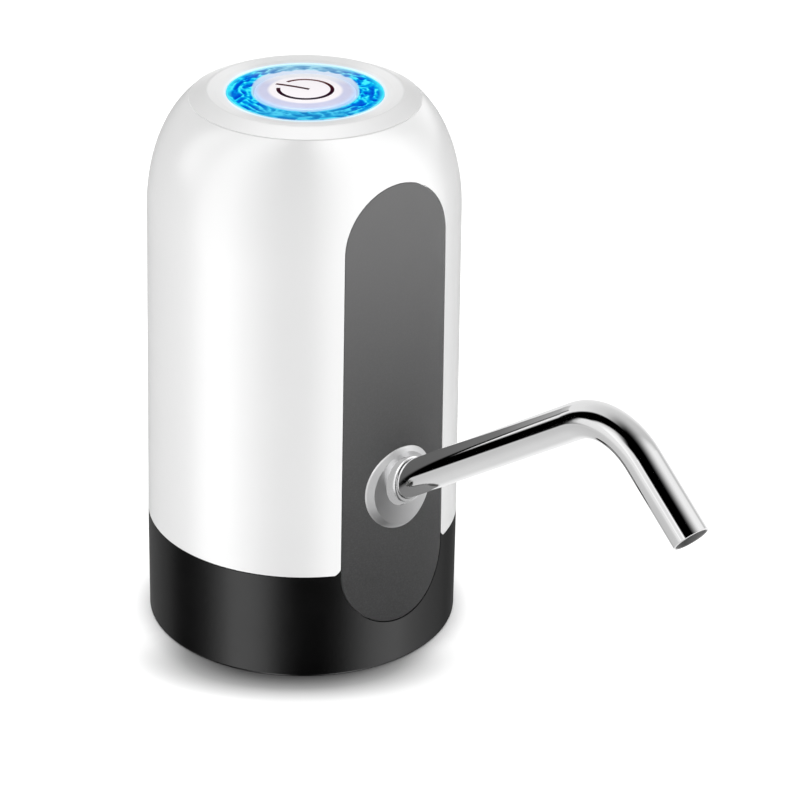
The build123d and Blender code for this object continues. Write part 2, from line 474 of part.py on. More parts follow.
# ---------------------------------------------------------------- spout socket, coupling, bezel, collar and tube
wall_in = envelope(WALL + 0.06, 27.2, 60.0)
ears = ycyl(3.2, -40, -20, 11.5, 41.0) + ycyl(3.2, -40, -20, -11.5, 41.0) + block(-11.5, 11.5, -40, -20, 38.6, 43.4)
sock = (tcyl(6.7, -19.0, 6.0) & wall_in) + (ears & block(-20, 20, -29.5, -27.4, 30, 50))
sock = sock + tcyl(3.0, -23.2, -18.5) + tcyl(3.3, -22.6, -21.8)
sock = sock - tcyl(COLLAR_R + 0.08, PLUG_END - 0.2, 8.0) - tcyl(1.9, -30.0, -10.0)
for sx in (11.5, -11.5):
    sock = sock - ycyl(1.0, -35, -25, sx, 41.0) - ycyl(2.75, -40, -29.5, sx, 41.0)
save("spout_socket", sock.solids().sort_by(SortBy.VOLUME)[-1])
socket_screws = []
for sx in (11.5, -11.5):
    s = screw(0, 0, 0, 4.6, r=0.8, head_r=1.7, head_h=1.2)
    socket_screws.append(Pos(sx, -27.35, 41.0) * Rot(90, 0, 0) * s)
save("socket_screws", socket_screws)
save("outlet_coupling", tcyl(4.4, -27.6, -19.1) - tcyl(3.32, -29, -17) - cyl(PUMP_R + 0.02, 20, 60))

# bezel: a thin oval flange that follows the round skin, with a broad bevel and a slanted hole for the collar
Y_SKIN = -outer_r(BEZEL_Z)
Y_SIDE = -math.sqrt(outer_r(BEZEL_Z) ** 2 - BEZEL_RX ** 2)


def oval(y, dx, dz):
    return Plane(origin=(0, y, BEZEL_Z), x_dir=(1, 0, 0), z_dir=(0, -1, 0)) * Ellipse(BEZEL_RX + dx, BEZEL_RZ + dz)


def bevel_oval(y):
    return oval(y, BEZEL_SLOPE * (y - Y_SIDE) + 0.3, BEZEL_SLOPE * (y - Y_SKIN) + 0.3)


bez = envelope(-BEZEL_T, 30.0, 50.0) & loft([bevel_oval(-34.0), bevel_oval(-40.0)], ruled=True) & extrude(oval(-30.0, 0, 0), amount=12)
bez = (bez - envelope(-0.03, 20.0, 40.0)).solids().sort_by(SortBy.VOLUME)[-1]
bez = fillet([bez.edges().sort_by(lambda e: e.length)[-1]], 0.6) - tcyl(COLLAR_R + 0.15, -20, 20)
save("spout_bezel", bez.solids().sort_by(SortBy.VOLUME)[-1])

# collar and plug in one: its mouth is cut upright, its inner end seats in the socket
Y_MOUTH = Y_SKIN - COLLAR_PROUD
col = tcyl(COLLAR_R, PLUG_END, 20.0) & block(-20, 20, Y_MOUTH, -5, 0, 90)
front = col.edges().filter_by(lambda e: abs(e.center().Y - Y_MOUTH) < 1e-3)
col = fillet(front, 0.6)
col = col - tcyl(SPOUT_R + 0.06, -SPOUT_INSERT - 0.1, 40) - tcyl(3.1, -40, 0)
col = col - SPOUT_LOC * Pos(0, 0, -15.0) * (Cylinder(6, 1.3) - Cylinder(3.95, 2.0))
save("spout_collar", col.solids().sort_by(SortBy.VOLUME)[-1])
save("spout_seal", SPOUT_LOC * Pos(0, 0, -15.0) * Torus(4.5, 0.54))

p0 = (0, SPOUT_Y - SPOUT_LEG1 * math.cos(T1), SPOUT_Z + SPOUT_LEG1 * math.sin(T1))
centre = (0, p0[1] - SPOUT_BEND * math.sin(T1), p0[2] - SPOUT_BEND * math.cos(T1))
turn = SPOUT_TILT + SPOUT_DROP
bend_plane = Plane(origin=p0, x_dir=(1, 0, 0), z_dir=D1)
bend_axis = Axis(centre, (1, 0, 0))
# end of the bend: centre plus the outward normal of the last leg
p1 = (0, centre[1] - SPOUT_BEND * math.sin(T2), centre[2] + SPOUT_BEND * math.cos(T2))
leg2 = Plane(origin=p1, x_dir=(1, 0, 0), z_dir=D2).location


def tube_solid(r, ext0, ext1):
    a = tcyl(r, -SPOUT_INSERT - ext0, SPOUT_LEG1)
    b = revolve(bend_plane * Circle(r), bend_axis, turn)
    c = leg2 * Pos(0, 0, (SPOUT_LEG2 + ext1) / 2) * Cylinder(r, SPOUT_LEG2 + ext1)
    return a + b + c


print("bend end", p1, "tip", tuple(p1[i] + D2[i] * SPOUT_LEG2 for i in range(3)))
tube = tube_solid(SPOUT_R, 0, 0) - tube_solid(SPOUT_R - SPOUT_WALL, 1, 1)
tip = Vector(*(p1[i] + D2[i] * SPOUT_LEG2 for i in range(3)))
tube = fillet([e for e in tube.edges().filter_by(GeomType.CIRCLE) if (e.arc_center - tip).length < 0.01], 0.2)
save("spout_tube", tube)

# ---------------------------------------------------------------- wiring
top_z = 69.9
save("motor_leads", [
    wire([(7.0, 1.75, 93.2), (7.0, 8.0, 95.2), (5.6, 15.0, 92.6), (3.4, 19.6, 84.6), (2.6, 20.9, 76.5), (2.6, 20.9, top_z)], 0.6),
    wire([(-7.0, 1.75, 93.2), (-7.0, 8.0, 96.4), (-4.6, 15.4, 93.8), (-1.0, 19.6, 85.4), (0.4, 20.9, 77.0), (0.4, 20.9, top_z)], 0.6),
])
save("battery_leads", [
    wire([(bx, by + 12.3, 95.78), (bx, 17.6, 95.78), (18.6, 21.6, 93.4), (11.4, 23.2, 87.4), (5.6, 22.9, 79.0), (5.0, 22.8, top_z)], 0.55),
    wire([(bx, 13.05, 30.62), (bx, 13.05, 37.0), (22.8, 13.4, 45.0), (19.8, 14.8, 53.4), (12.6, 16.4, 56.0), (9.0, 18.4, 54.5), (9.0, 21.1, 54.5)], 0.55),
])
save("light_leads", [
    wire([(-19.0 + 1.6 * i, -6.0, 124.5), (-19.0 + 1.6 * i, -6.0, 118.0), (-18.4 + 1.6 * i, 1.5, 109.6), (-14.4 + 1.6 * i, 12.0, 98.0), (-8.4 + 1.7 * i, 20.0, 85.0), (-5.4 + 1.7 * i, 22.6, 76.6), (-5.4 + 1.7 * i, 22.6, top_z)], 0.5)
    for i in range(3)
])

for name, solids in NODES.items():
    if not all(solid.is_valid for solid in solids):
        print("not valid:", name)
print(len(NODES), "nodes")
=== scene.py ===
# Electric water jug pump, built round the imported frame. Metres, +Z up, the spout points along -Y.
import bpy
import math
import numpy as np
from mathutils import Vector, Matrix


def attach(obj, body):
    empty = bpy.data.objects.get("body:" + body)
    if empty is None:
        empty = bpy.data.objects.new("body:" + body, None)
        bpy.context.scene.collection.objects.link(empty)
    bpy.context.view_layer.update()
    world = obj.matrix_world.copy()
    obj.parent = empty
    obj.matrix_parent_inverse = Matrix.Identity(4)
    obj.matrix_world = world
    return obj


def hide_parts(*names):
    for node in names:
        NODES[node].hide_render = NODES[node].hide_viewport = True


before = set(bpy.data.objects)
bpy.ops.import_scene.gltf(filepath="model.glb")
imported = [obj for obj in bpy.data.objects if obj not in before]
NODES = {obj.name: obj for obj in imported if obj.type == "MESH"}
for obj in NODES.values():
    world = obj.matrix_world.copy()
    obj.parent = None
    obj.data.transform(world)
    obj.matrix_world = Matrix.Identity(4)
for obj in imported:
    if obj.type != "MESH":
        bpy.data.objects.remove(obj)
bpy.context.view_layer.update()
scene = bpy.context.scene
MM = 0.001

# ------------------------------------------------------------------ camera
ELEV, DIST, FOCAL = 0.4513, 0.75685, 3168.1
TARGET_Z, AIM_X, AIM_Y, ROLL = 0.064145, 303.23, 365.12, -0.0071
THETA = math.radians(38)


def turned(v):
    """From the camera's own heading to the row frame."""
    return Vector((v[0] * math.cos(THETA) + v[1] * math.sin(THETA), -v[0] * math.sin(THETA) + v[1] * math.cos(THETA), v[2]))


def make_camera():
    fwd = Vector((0, math.cos(ELEV), -math.sin(ELEV)))
    right = Vector((1, 0, 0))
    up = right.cross(fwd)
    a, b = math.atan((AIM_X - 400) / FOCAL), math.atan((AIM_Y - 400) / FOCAL)
    f2 = fwd * math.cos(a) - right * math.sin(a)
    r2 = right * math.cos(a) + fwd * math.sin(a)
    f3 = f2 * math.cos(b) + up * math.sin(b)
    u3 = up * math.cos(b) - f2 * math.sin(b)
    c, s = math.cos(ROLL), math.sin(ROLL)
    right3, up3 = r2 * c - u3 * s, r2 * s + u3 * c
    x, y, z = turned(right3), turned(up3), turned(-f3)
    cam = bpy.data.cameras.new("camera")
    cam.lens, cam.sensor_width = FOCAL / 800 * 36, 36
    cam.clip_start, cam.clip_end = 0.05, 50
    obj = bpy.data.objects.new("camera", cam)
    scene.collection.objects.link(obj)
    place = turned((0, -DIST * math.cos(ELEV), TARGET_Z + DIST * math.sin(ELEV)))
    obj.matrix_world = Matrix(((x.x, y.x, z.x, place.x), (x.y, y.y, z.y, place.y), (x.z, y.z, z.z, place.z), (0, 0, 0, 1)))
    scene.camera = obj


make_camera()


# ------------------------------------------------------------------ node helpers
class Graph:
    """Small builder for shader node trees."""

    def __init__(self, tree):
        self.t = tree
        self.t.nodes.clear()

    def add(self, kind, **kw):
        n = self.t.nodes.new("ShaderNode" + kind)
        for k, v in kw.items():
            if k.startswith("_"):
                setattr(n, k[1:], v)
            else:
                self.put(n, k.replace("__", " "), v)
        return n

    def put(self, n, name, v):
        sock = n.inputs[int(name[1:])] if name[0] == "i" and name[1:].isdigit() else n.inputs[name]
        if isinstance(v, bpy.types.NodeSocket):
            self.t.links.new(v, sock)
        elif isinstance(v, bpy.types.Node):
            self.t.links.new(v.outputs[0], sock)
        elif isinstance(v, (tuple, list)) and len(v) == 3 and sock.type == "RGBA":
            sock.default_value = (*v, 1)
        else:
            sock.default_value = v

    def math(self, op, a, b=0.0, c=None, clamp=False):
        n = self.add("Math", _operation=op, _use_clamp=clamp, i0=a, i1=b)
        if c is not None:
            self.put(n, "i2", c)
        return n.outputs[0]

    def span(self, v, a, b, c=0.0, d=1.0, smooth=True):
        n = self.add("MapRange", _interpolation_type="SMOOTHSTEP" if smooth else "LINEAR", _clamp=True)
        for k, x in zip(("Value", "From Min", "From Max", "To Min", "To Max"), (v, a, b, c, d)):
            self.put(n, k, x)
        return n.outputs["Result"]

    def mix(self, f, a, b, mode="MIX"):
        n = self.add("Mix", _data_type="RGBA", _blend_type=mode)
        self.put(n, "i0", f)
        self.put(n, "i6", a)
        self.put(n, "i7", b)
        return n.outputs[2]

    def ramp(self, f, stops, kind="LINEAR"):
        n = self.add("ValToRGB")
        self.put(n, "Fac", f)
        cr = n.color_ramp
        cr.interpolation = kind
        while len(cr.elements) > 1:
            cr.elements.remove(cr.elements[-1])
        cr.elements[0].position = stops[0][0]
        cr.elements[0].color = (*rgb(stops[0][1]), 1)
        for p, c in stops[1:]:
            e = cr.elements.new(p)
            e.color = (*rgb(c), 1)
        return n.outputs["Color"]

    def noise(self, vec, scale, detail=2.0, rough=0.5, distortion=0.0):
        n = self.add("TexNoise", Vector=vec, Scale=scale, Detail=detail, Roughness=rough, Distortion=distortion)
        return n.outputs["Fac"]

    def where(self):
        return self.add("TexCoord").outputs["Object"]

    def xyz(self, vec):
        return self.add("SeparateXYZ", Vector=vec).outputs

    def scaled(self, vec, s):
        return self.add("Mapping", Vector=vec, Scale=s if isinstance(s, (tuple, list)) else (s, s, s)).outputs[0]


def rgb(c):
    return c if isinstance(c, (tuple, list)) else (c, c, c)


def lin(v):
    """Linear value of an 8-bit display level."""
    v = v / 255
    return v / 12.92 if v <= 0.04045 else ((v + 0.055) / 1.055) ** 2.4


def material(name):
    m = bpy.data.materials.new(name)
    m.use_nodes = True
    return m, Graph(m.node_tree)


def finish_bsdf(g, **kw):
    p = g.add("BsdfPrincipled")
    for k, v in kw.items():
        g.put(p, k.replace("__", " "), v)
    out = g.add("OutputMaterial")
    g.t.links.new(p.outputs[0], out.inputs[0])
    return p


def moulded(name, colour, rough=0.22, spec=0.5, vary=0.02, peel=0.10, peel_scale=900.0, rough_vary=0.05, coat=0.0, grain=0.0, subsurface=0.0):
    """Injection moulded plastic: faint flow colour, patchy gloss and a fine orange peel."""
    m, g = material(name)
    co = g.where()
    flow = g.noise(co, 55.0, 3.0, 0.55)
    c = rgb(colour)
    base = g.ramp(flow, [(0.25, [x * (1 - vary) for x in c]), (0.75, [min(1, x * (1 + vary)) for x in c])])
    patch = g.noise(co, 140.0, 4.0, 0.6)
    r = g.span(patch, 0.3, 0.7, rough - rough_vary / 2, rough + rough_vary / 2)
    fine = g.noise(co, peel_scale, 1.5, 0.5)
    b = g.add("Bump", Strength=peel, Distance=0.0002, Height=fine)
    if grain:
        tex = g.noise(co, 5200.0, 2.0, 0.6)
        b = g.add("Bump", Strength=grain, Distance=0.00006, Height=tex, Normal=b.outputs[0])
    kw = {"Base__Color": base, "Roughness": r, "Normal": b.outputs[0], "Specular__IOR__Level": spec}
    if coat:
        kw["Coat__Weight"] = coat
        kw["Coat__Roughness"] = 0.08
    if subsurface:
        kw["Subsurface__Weight"] = subsurface
        kw["Subsurface__Radius"] = (0.004, 0.0036, 0.0034)
        kw["Subsurface__Scale"] = 0.5
    finish_bsdf(g, **kw)
    return m


def metal(name, colour, rough=0.25, spread=0.06, scale=(300.0, 300.0, 300.0), bump=0.05):
    """Metal with fine uneven polish."""
    m, g = material(name)
    co = g.where()
    v = g.scaled(co, scale)
    n1 = g.noise(v, 1.0, 3.0, 0.6)
    n2 = g.noise(co, 40.0, 2.0, 0.5)
    c = rgb(colour)
    base = g.ramp(n2, [(0.3, [x * 0.97 for x in c]), (0.7, [min(1, x * 1.03) for x in c])])
    r = g.span(n1, 0.25, 0.75, rough - spread / 2, rough + spread / 2)
    b = g.add("Bump", Strength=bump, Distance=0.00005, Height=n1)
    finish_bsdf(g, Base__Color=base, Metallic=1.0, Roughness=r, Normal=b.outputs[0])
    return m


# ------------------------------------------------------------------ materials by record slot
LENS_TOP, LENS_DEPTH = 0.13355, 0.00036
TIP, LEG = (0.0, -0.13183983, 0.07450113), (0.0, -math.cos(math.radians(38.35)), -math.sin(math.radians(38.35)))


def panel_material():
    """Satin grey cover. Its colour is painted shade: paler towards its arch and darker towards the foot, as light from
    above falls on it.
    """
    m, g = material("grey_panel")
    co = g.where()
    z = g.xyz(co)[2]
    # painted shade: the colour ramp darkens from the arch down to the foot
    t = g.span(z, 0.010, 0.121, 0.0, 1.0, smooth=False)
    base = g.ramp(t, [(0.0, (0.040, 0.040, 0.0405)), (0.13, (0.046, 0.046, 0.0465)), (0.36, (0.070, 0.070, 0.0705)), (0.6, (0.107, 0.107, 0.1075)), (0.82, (0.146, 0.146, 0.1465)), (1.0, (0.176, 0.176, 0.1765))])
    speck = g.noise(co, 2600.0, 2.0, 0.7)
    base = g.mix(g.span(speck, 0.35, 0.8, 0.0, 0.10), base, (0.22, 0.22, 0.225))
    patch = g.noise(co, 120.0, 4.0, 0.6)
    r = g.span(patch, 0.3, 0.7, 0.40, 0.48)
    fine = g.noise(co, 3800.0, 2.0, 0.6)
    wave = g.noise(co, 500.0, 1.5, 0.5)
    b1 = g.add("Bump", Strength=0.08, Distance=0.0002, Height=wave)
    b2 = g.add("Bump", Strength=0.22, Distance=0.00005, Height=fine, Normal=b1.outputs[0])
    finish_bsdf(g, Base__Color=base, Roughness=r, Normal=b2.outputs[0], Specular__IOR__Level=0.22)
    return m


def chrome_material():
    """Mirror polished tube with faint drawn lines. The bore behind the mouth is left satin, and its colour there is
    painted shade: pale on the left, darkest right of centre, standing in for the shade inside the tube.
    """
    m, g = material("polished_steel")
    co = g.where()
    x, y, z = g.xyz(co)
    n = g.noise(co, 60.0, 3.0, 0.5)
    base = g.ramp(n, [(0.3, (0.86, 0.86, 0.865)), (0.7, (0.90, 0.90, 0.90))])
    across = g.add("CombineXYZ", X=g.math("MULTIPLY", x, 5200.0), Y=g.math("MULTIPLY", y, 60.0), Z=g.math("MULTIPLY", z, 60.0))
    lines = g.noise(across.outputs[0], 1.0, 2.0, 0.6)
    cy, cz = g.math("SUBTRACT", y, TIP[1]), g.math("SUBTRACT", z, TIP[2])
    along = g.math("ADD", g.math("MULTIPLY", cy, LEG[1]), g.math("MULTIPLY", cz, LEG[2]))
    side = g.math("SUBTRACT", g.math("MULTIPLY", cy, LEG[2]), g.math("MULTIPLY", cz, LEG[1]))
    rad = g.math("SQRT", g.math("ADD", g.math("MULTIPLY", side, side), g.math("MULTIPLY", x, x)))
    bore = g.math("MULTIPLY", g.span(rad, 0.00400, 0.00380), g.span(along, -0.016, -0.010))
    r = g.math("ADD", g.span(lines, 0.35, 0.75, 0.035, 0.075), g.math("MULTIPLY", bore, 0.42))
    b = g.add("Bump", Strength=0.018, Distance=0.00004, Height=lines)
    # painted shade in the bore: a ramp across X, lighter on the left and darkest right of centre, with a little random
    # grain
    grey = g.noise(co, 900.0, 2.0, 0.5)
    shade = g.ramp(g.math("ADD", g.span(x, -0.0036, 0.0036, 0.0, 0.9, smooth=False), g.math("MULTIPLY", grey, 0.1)), [(0.08, (0.50,) * 3), (0.35, (0.30,) * 3), (0.62, (0.17,) * 3), (0.95, (0.26,) * 3)])
    base = g.mix(bore, base, shade)
    finish_bsdf(g, Base__Color=base, Metallic=g.math("SUBTRACT", 1.0, g.math("MULTIPLY", bore, 0.85)), Roughness=r, Normal=b.outputs[0])
    return m


def light_material():
    """Lit ring behind a rippled lens: deep blue pools, cyan crests, milky towards its edges at the back and the front."""
    m, g = material("light_window")
    co = g.where()
    x, y, z = g.xyz(co)
    r = g.math("SQRT", g.math("ADD", g.math("MULTIPLY", x, x), g.math("MULTIPLY", y, y)))
    back = g.math("DIVIDE", g.math("ADD", g.math("MULTIPLY", x, math.sin(THETA)), g.math("MULTIPLY", y, math.cos(THETA))), r)
    height = g.span(z, LENS_TOP - LENS_DEPTH, LENS_TOP, 0.0, 1.0, smooth=False)
    fine = g.noise(co, 1500.0, 3.0, 0.65)
    h = g.math("ADD", height, g.math("MULTIPLY", g.math("SUBTRACT", fine, 0.5), 0.30))
    pool = g.ramp(h, [(0.05, (0.0, 0.070, 0.64)), (0.40, (0.0, 0.15, 0.70)), (0.60, (0.0, 0.30, 0.80)), (0.78, (0.004, 0.58, 0.90)), (0.96, (0.06, 0.88, 0.98))])
    fore = g.ramp(h, [(0.15, (0.012, 0.22, 0.52)), (0.50, (0.02, 0.36, 0.68)), (0.85, (0.08, 0.60, 0.86))])
    c = g.mix(g.span(back, -0.50, -0.90, 0.0, 0.9), pool, fore)
    haze = g.ramp(h, [(0.1, (0.12, 0.32, 0.52)), (0.6, (0.26, 0.50, 0.66)), (1.0, (0.45, 0.70, 0.82))])
    c = g.mix(g.span(back, 0.55, 0.97, 0.0, 0.85), c, haze)
    outer = g.math("MULTIPLY", g.span(r, 0.0166, 0.0176), g.span(back, 0.80, 0.2, 0.10, 0.65))
    c = g.mix(outer, c, (0.05, 0.80, 0.95))
    squeeze = g.math("MULTIPLY", back, back)
    rear = g.span(back, 0.0, 1.0)
    inner = g.math("MULTIPLY_ADD", rear, 0.0022, 0.0122)
    brim = g.math("MULTIPLY_ADD", squeeze, -0.0005, 0.0181)
    milk = g.math("MAXIMUM", g.span(g.math("SUBTRACT", r, inner), 0.0004, -0.0004), g.math("MULTIPLY", g.span(g.math("SUBTRACT", r, brim), -0.0002, 0.0003), g.span(squeeze, 0.1, 0.5)))
    c = g.mix(g.math("MULTIPLY", milk, 0.92), c, g.mix(rear, (0.50, 0.62, 0.84), (0.74, 0.80, 0.92)))
    rim = g.math("MULTIPLY", g.span(g.math("ABSOLUTE", g.math("SUBTRACT", r, brim)), 0.00035, 0.00005), g.span(squeeze, 0.02, 0.35, 0.15, 0.8))
    rim = g.math("MAXIMUM", rim, g.math("MULTIPLY", g.span(g.math("ABSOLUTE", g.math("SUBTRACT", r, inner)), 0.0003, 0.00005), 0.45))
    c = g.mix(rim, c, (0.45, 0.86, 0.96))
    finish_bsdf(g, Base__Color=(0.0, 0.01, 0.03), Roughness=0.14, Specular__IOR__Level=0.16, Emission__Color=c, Emission__Strength=1.0)
    m.cycles.emission_sampling = "NONE"
    return m


def trim_material():
    m, g = material("trim_grey")
    co = g.where()
    x, y, z = g.xyz(co)
    r = g.math("SQRT", g.math("ADD", g.math("MULTIPLY", x, x), g.math("MULTIPLY", y, y)))
    flow = g.noise(co, 60.0, 3.0, 0.55)
    # painted light and shade: the annulus gets a lighter colour at the sides and darker ones at the front and the back,
    # following how light falls on it in the main view
    back = g.math("DIVIDE", g.math("ADD", g.math("MULTIPLY", x, math.sin(THETA)), g.math("MULTIPLY", y, math.cos(THETA))), r)
    front = g.ramp(flow, [(0.3, (0.69, 0.69, 0.69)), (0.7, (0.705, 0.705, 0.705))])
    side = g.ramp(flow, [(0.3, (0.825, 0.825, 0.825)), (0.7, (0.84, 0.84, 0.84))])
    rear = g.ramp(flow, [(0.3, (0.655, 0.655, 0.655)), (0.7, (0.67, 0.67, 0.67))])
    front = g.mix(g.math("MULTIPLY", g.span(back, 0.55, 0.95), g.span(r, 0.0228, 0.0222)), front, rear)
    base = g.mix(g.math("MULTIPLY", g.span(g.math("ABSOLUTE", back), 0.95, 0.55), g.span(r, 0.0228, 0.0222)), front, side)
    fine = g.noise(co, 420.0, 1.0, 0.4)
    b = g.add("Bump", Strength=0.03, Distance=0.00006, Height=fine)
    # painted light: a cyan glow on the inner edge next to the lit ring stands in for the ring's spill; the trim itself
    # is no lamp
    painted_spill = g.math("POWER", g.span(r, 0.0183, 0.0205, 1.0, 0.0, smooth=False), 2.2)
    colour = g.mix(g.span(r, 0.0183, 0.0192), (0.10, 0.42, 0.55), (0.03, 0.12, 0.20))
    e = g.mix(g.math("MULTIPLY", painted_spill, g.span(g.math("ABSOLUTE", back), 0.25, 0.7, 0.30, 1.0)), (0, 0, 0), colour)
    finish_bsdf(g, Base__Color=base, Roughness=0.30, Normal=b.outputs[0], Emission__Color=e, Emission__Strength=1.0)
    return m


def button_material():
    m, g = material("button_white")
    co = g.where()
    x, y, z = g.xyz(co)
    r = g.math("SQRT", g.math("ADD", g.math("MULTIPLY", x, x), g.math("MULTIPLY", y, y)))
    disc = g.span(r, 0.0080, 0.0090)
    wob = g.noise(co, 320.0, 3.0, 0.5)
    lav = g.ramp(wob, [(0.3, (0.52, 0.535, 0.74)), (0.7, (0.58, 0.59, 0.78))])
    base = g.mix(disc, (0.82, 0.80, 0.81), lav)
    # painted light: the button is no lamp, yet it glows near its rim as spill from the lit ring, tinted and brighter
    # towards the back, and its centre disc glows faintly too
    painted_spill = g.math("POWER", g.span(r, 0.0102, 0.01165, 0.0, 1.0, smooth=False), 1.6)
    back = g.math("DIVIDE", g.math("ADD", g.math("MULTIPLY", x, math.sin(THETA)), g.math("MULTIPLY", y, math.cos(THETA))), g.math("MAXIMUM", r, 0.001))
    tint = g.mix(g.span(back, 0.2, 0.9), (0.02, 0.20, 0.30), (0.20, 0.25, 0.22))
    e = g.mix(painted_spill, g.mix(g.span(back, 0.3, 0.9), (0.04, 0.04, 0.05), (0.24, 0.24, 0.12)), tint)
    e = g.mix(disc, (0.14, 0.12, 0.14), e)
    fine = g.noise(co, 1500.0, 2.0, 0.5)
    b = g.add("Bump", Strength=0.06, Distance=0.0001, Height=fine)
    finish_bsdf(g, Base__Color=base, Roughness=0.28, Normal=b.outputs[0], Emission__Color=e, Emission__Strength=1.0)
    return m


def mark_material():
    """Printed mark: dark red at the back to near-black purple at the front."""
    m, g = material("mark_maroon")
    co = g.where()
    x, y, z = g.xyz(co)
    v = g.math("ADD", g.math("MULTIPLY", x, math.sin(THETA)), g.math("MULTIPLY", y, math.cos(THETA)))
    n = g.noise(co, 500.0, 3.0, 0.6)
    t = g.math("ADD", g.span(v, -0.0068, 0.0068, 0.0, 1.0, smooth=False), g.math("MULTIPLY", g.math("SUBTRACT", n, 0.5), 0.25))
    base = g.ramp(t, [(0.0, (0.018, 0.0, 0.022)), (0.35, (0.035, 0.001, 0.018)), (0.7, (0.085, 0.006, 0.012)), (1.0, (0.17, 0.035, 0.035))])
    finish_bsdf(g, Base__Color=base, Roughness=0.35, Specular__IOR__Level=0.2)
    return m


MATS = {
    "white_shell": moulded("white_shell", (0.76, 0.76, 0.76), rough=0.20, spec=0.5, vary=0.006, peel=0.05, peel_scale=700.0, rough_vary=0.05),
    "black_base": moulded("black_base", (0.0034, 0.0034, 0.0035), rough=0.20, spec=0.5, vary=0.15, peel=0.05, peel_scale=700.0, rough_vary=0.05),
    "grey_panel": panel_material(),
    "trim_grey": trim_material(),
    "light_window": light_material(),
    "button_white": button_material(),
    "mark_maroon": mark_material(),
    "satin_metal": metal("satin_metal", (0.66, 0.66, 0.665), rough=0.34, spread=0.06, scale=(500.0, 500.0, 500.0), bump=0.05),
    "collar_metal": metal("collar_metal", (0.85, 0.85, 0.855), rough=0.20, spread=0.05, scale=(600.0, 600.0, 600.0), bump=0.04),
    "polished_steel": chrome_material(),
    "silicone": moulded("silicone", (0.70, 0.71, 0.71), rough=0.48, spec=0.4, vary=0.03, peel=0.12, peel_scale=500.0, subsurface=0.25),
    "black_rubber": moulded("black_rubber", (0.02, 0.02, 0.02), rough=0.6, spec=0.3, vary=0.15, peel=0.15, peel_scale=1400.0),
    "inner_plastic": moulded("inner_plastic", (0.62, 0.62, 0.60), rough=0.42, spec=0.4, vary=0.02, peel=0.10, peel_scale=900.0, grain=0.2),
    "pump_plastic": moulded("pump_plastic", (0.045, 0.045, 0.05), rough=0.42, spec=0.4, vary=0.06, peel=0.12, peel_scale=900.0, grain=0.3),
    "screw_steel": metal("screw_steel", (0.55, 0.55, 0.56), rough=0.38, spread=0.08, scale=(900.0, 900.0, 900.0), bump=0.1),
    "motor_steel": metal("motor_steel", (0.50, 0.50, 0.50), rough=0.36, spread=0.10, scale=(200.0, 200.0, 2400.0), bump=0.08),
    "magnet": moulded("magnet", (0.045, 0.045, 0.047), rough=0.55, spec=0.4, vary=0.15, peel=0.25, peel_scale=2200.0),
    "copper": metal("copper", (0.72, 0.36, 0.20), rough=0.34, spread=0.05, scale=(300.0, 300.0, 4200.0), bump=0.2),
    "battery_wrap": moulded("battery_wrap", (0.03, 0.10, 0.36), rough=0.22, spec=0.5, vary=0.05, peel=0.10, peel_scale=260.0),
    "board_green": moulded("board_green", (0.01, 0.11, 0.035), rough=0.34, spec=0.5, vary=0.12, peel=0.08, peel_scale=1200.0),
    "board_parts": moulded("board_parts", (0.02, 0.02, 0.021), rough=0.45, spec=0.4, vary=0.12, peel=0.15, peel_scale=2200.0),
    "led_white": moulded("led_white", (0.80, 0.78, 0.52), rough=0.35, spec=0.5, vary=0.05, peel=0.08, peel_scale=1500.0),
    "port_metal": metal("port_metal", (0.62, 0.62, 0.62), rough=0.34, spread=0.05, scale=(2600.0, 300.0, 2600.0), bump=0.08),
    "lead_insulation": moulded("lead_insulation", (0.42, 0.01, 0.01), rough=0.42, spec=0.4, vary=0.08, peel=0.10, peel_scale=900.0),
}

SLOT_OF = {n: o.data.materials[0].name.split(".")[0] for n, o in NODES.items()}
OUTSIDE = {"upper_shell", "front_panel", "base_collar", "top_trim_ring", "light_ring", "power_mark", "button_cap", "spout_bezel", "spout_collar", "spout_tube",
           "usb_shell", "usb_tongue", "control_board", "neck_sleeve", "bulkhead", "intake_spigot", "chassis_screws"}
for name, obj in NODES.items():
    obj.data.materials[0] = MATS[SLOT_OF[name]]
    if name not in OUTSIDE:
        obj.visible_glossy = False
for name in ("upper_shell", "base_collar", "spout_bezel", "top_trim_ring", "light_ring", "button_cap", "power_mark"):
    NODES[name].visible_glossy = False


# ------------------------------------------------------------------ rippled lens of the lit ring
def smooth_noise(x, y, seed, period):
    """Value noise with a smooth step, periodic in x."""
    rng = np.random.default_rng(seed)
    table = rng.random((64, 64))
    xi, yi = np.floor(x).astype(int), np.floor(y).astype(int)
    fx, fy = x - xi, y - yi
    fx, fy = fx * fx * (3 - 2 * fx), fy * fy * (3 - 2 * fy)
    at = lambda i, j: table[(i % period) % 64, j % 64]
    return (at(xi, yi) * (1 - fx) + at(xi + 1, yi) * fx) * (1 - fy) + (at(xi, yi + 1) * (1 - fx) + at(xi + 1, yi + 1) * fx) * fy


def lens_height(r, a):
    """Ripple height from 0 to 1 on the lens: drawn out wavelets."""
    turn = a / (2 * np.pi)
    rr = (r - 11.85) / 6.35
    w1 = smooth_noise(turn * 22, rr * 2.4, 3, 22)
    w2 = smooth_noise(turn * 22 + 7, rr * 2.4 + 5, 4, 22)
    warp = (w1 - 0.5) * 1.6
    long_ = smooth_noise(turn * 40 + warp * 0.8, rr * 5.0 + warp, 11, 40)
    mid = smooth_noise(turn * 60 + w2 * 1.5, rr * 8.0 + warp * 1.4, 12, 60)
    small = smooth_noise(turn * 61 * 2 + 3, rr * 13.0 + w2, 13, 122)
    ridges = 1 - np.abs(2 * long_ - 1)
    h = 0.50 * ridges + 0.30 * mid + 0.20 * small
    h = (h - 0.30) / 0.50
    return np.clip(h, 0, 1)


